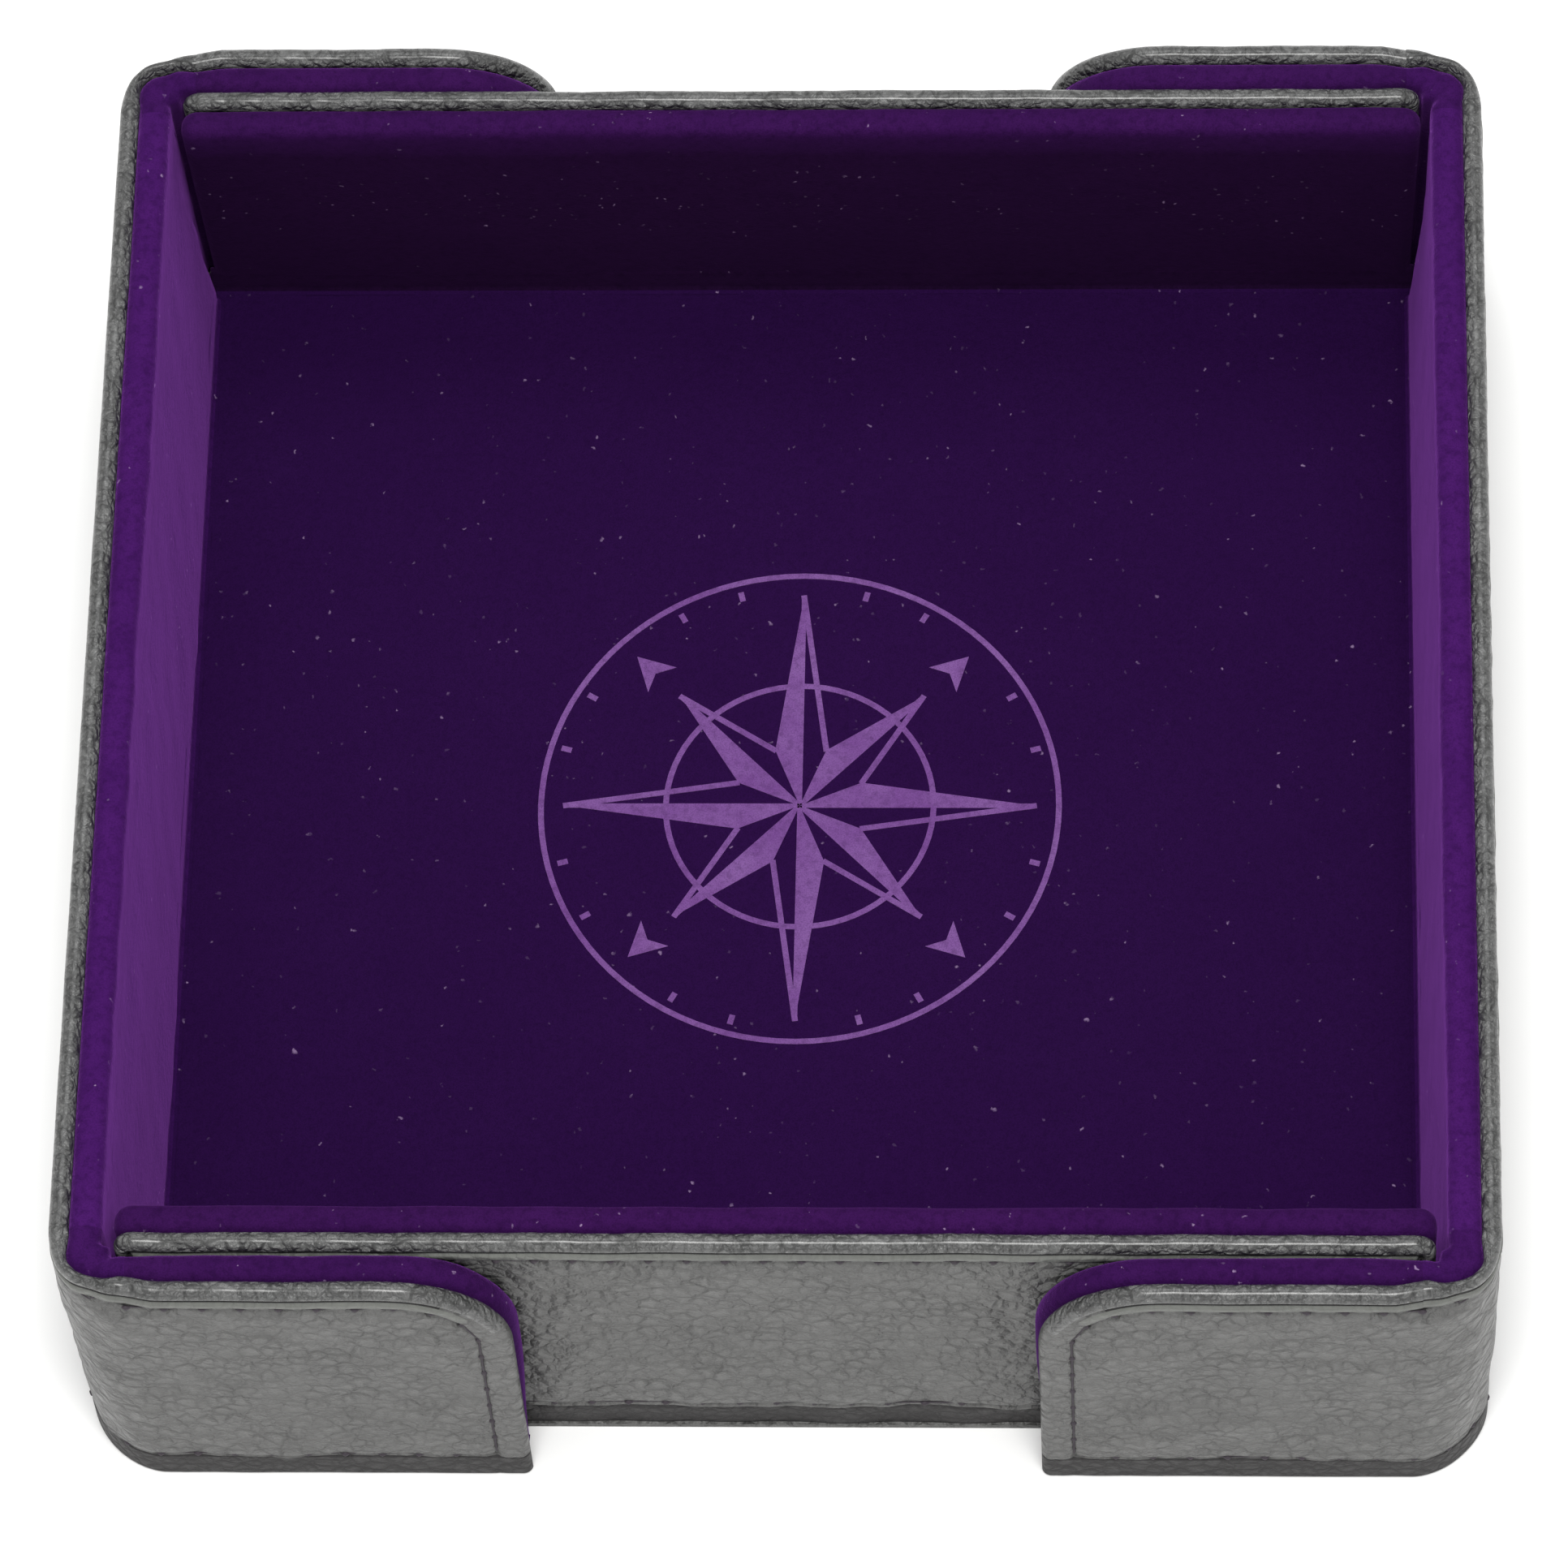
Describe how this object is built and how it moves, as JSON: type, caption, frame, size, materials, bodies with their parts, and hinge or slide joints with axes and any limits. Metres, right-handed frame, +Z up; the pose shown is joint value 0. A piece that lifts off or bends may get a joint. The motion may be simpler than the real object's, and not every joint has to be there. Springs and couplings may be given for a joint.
{
  "type": "folding dice tray",
  "caption": "Square folding dice tray with padded velvet lining, grey pebbled leather outside and walls that fold on leather hinges.",
  "frame": {"origin": "middle of the tray's footprint on the table", "axes": "+X to the right, +Y to the back wall, +Z up; the front wall faces -Y"},
  "size_m": [0.22, 0.2266, 0.064],
  "materials": {
    "grey_leather": "pebble-grain synthetic leather, semi-matte",
    "hinge_leather": "smooth synthetic leather at the folds, semi-matte",
    "violet_velvet": "short-pile velvet",
    "stiff_board": "raw greyboard",
    "padding_foam": "open-cell foam",
    "magnet_steel": "nickel plated",
    "floor_print": "printed on the velvet pile"
  },
  "bodies": {
    "base": {"base_cover": "grey_leather", "base_board": "stiff_board", "base_foam": "padding_foam", "base_velvet": "violet_velvet", "floor_emblem": "floor_print", "left_hinge": "hinge_leather", "right_hinge": "hinge_leather", "front_hinge": "hinge_leather", "back_hinge": "hinge_leather"},
    "left_wall": {"left_leather": "grey_leather", "left_board": "stiff_board", "left_foam": "padding_foam", "left_velvet": "violet_velvet"},
    "right_wall": {"right_leather": "grey_leather", "right_board": "stiff_board", "right_foam": "padding_foam", "right_velvet": "violet_velvet"},
    "front_wall": {"front_leather": "grey_leather", "front_board": "stiff_board", "front_foam": "padding_foam", "front_velvet": "violet_velvet", "front_magnets": "magnet_steel"},
    "back_wall": {"back_leather": "grey_leather", "back_board": "stiff_board", "back_foam": "padding_foam", "back_velvet": "violet_velvet", "back_magnets": "magnet_steel"},
    "left_front_wing": {"wing_lf_leather": "grey_leather", "wing_lf_board": "stiff_board", "wing_lf_foam": "padding_foam", "wing_lf_velvet": "violet_velvet", "wing_lf_magnet": "magnet_steel", "fold_lf_leather": "grey_leather", "fold_lf_velvet": "violet_velvet"},
    "right_front_wing": {"wing_rf_leather": "grey_leather", "wing_rf_board": "stiff_board", "wing_rf_foam": "padding_foam", "wing_rf_velvet": "violet_velvet", "wing_rf_magnet": "magnet_steel", "fold_rf_leather": "grey_leather", "fold_rf_velvet": "violet_velvet"},
    "left_back_wing": {"wing_lb_leather": "grey_leather", "wing_lb_board": "stiff_board", "wing_lb_foam": "padding_foam", "wing_lb_velvet": "violet_velvet", "wing_lb_magnet": "magnet_steel", "fold_lb_leather": "grey_leather", "fold_lb_velvet": "violet_velvet"},
    "right_back_wing": {"wing_rb_leather": "grey_leather", "wing_rb_board": "stiff_board", "wing_rb_foam": "padding_foam", "wing_rb_velvet": "violet_velvet", "wing_rb_magnet": "magnet_steel", "fold_rb_leather": "grey_leather", "fold_rb_velvet": "violet_velvet"}
  },
  "joints": [
    {"name": "left_wall_fold", "type": "hinge", "parent": "base", "child": "left_wall", "pos_m": [-0.11, 0, 0], "axis": [0, -1, 0], "range_deg": [0, 90], "deforming": ["left_hinge"]},
    {"name": "right_wall_fold", "type": "hinge", "parent": "base", "child": "right_wall", "pos_m": [0.11, 0, 0], "axis": [0, 1, 0], "range_deg": [0, 90], "deforming": ["right_hinge"]},
    {"name": "front_wall_fold", "type": "hinge", "parent": "base", "child": "front_wall", "pos_m": [0, -0.09869, 0.0104], "axis": [1, 0, 0], "range_deg": [-87, 0], "deforming": ["front_hinge"]},
    {"name": "back_wall_fold", "type": "hinge", "parent": "base", "child": "back_wall", "pos_m": [0, 0.09869, 0.0104], "axis": [-1, 0, 0], "range_deg": [-87, 0], "deforming": ["back_hinge"]},
    {"name": "left_front_wing_fold", "type": "hinge", "parent": "left_wall", "child": "left_front_wing", "pos_m": [-0.1074, -0.11076, -0.00014], "axis": [0, -0.0523, -0.9986], "range_deg": [0, 90], "deforming": ["fold_lf_leather", "fold_lf_velvet"]},
    {"name": "right_front_wing_fold", "type": "hinge", "parent": "right_wall", "child": "right_front_wing", "pos_m": [0.1074, -0.11076, -0.00014], "axis": [0, 0.0523, 0.9986], "range_deg": [0, 90], "deforming": ["fold_rf_leather", "fold_rf_velvet"]},
    {"name": "left_back_wing_fold", "type": "hinge", "parent": "left_wall", "child": "left_back_wing", "pos_m": [-0.1074, 0.11076, -0.00014], "axis": [0, -0.0523, 0.9986], "range_deg": [0, 90], "deforming": ["fold_lb_leather", "fold_lb_velvet"]},
    {"name": "right_back_wing_fold", "type": "hinge", "parent": "right_wall", "child": "right_back_wing", "pos_m": [0.1074, 0.11076, -0.00014], "axis": [0, 0.0523, -0.9986], "range_deg": [0, 90], "deforming": ["fold_rb_leather", "fold_rb_velvet"]}
  ]
}
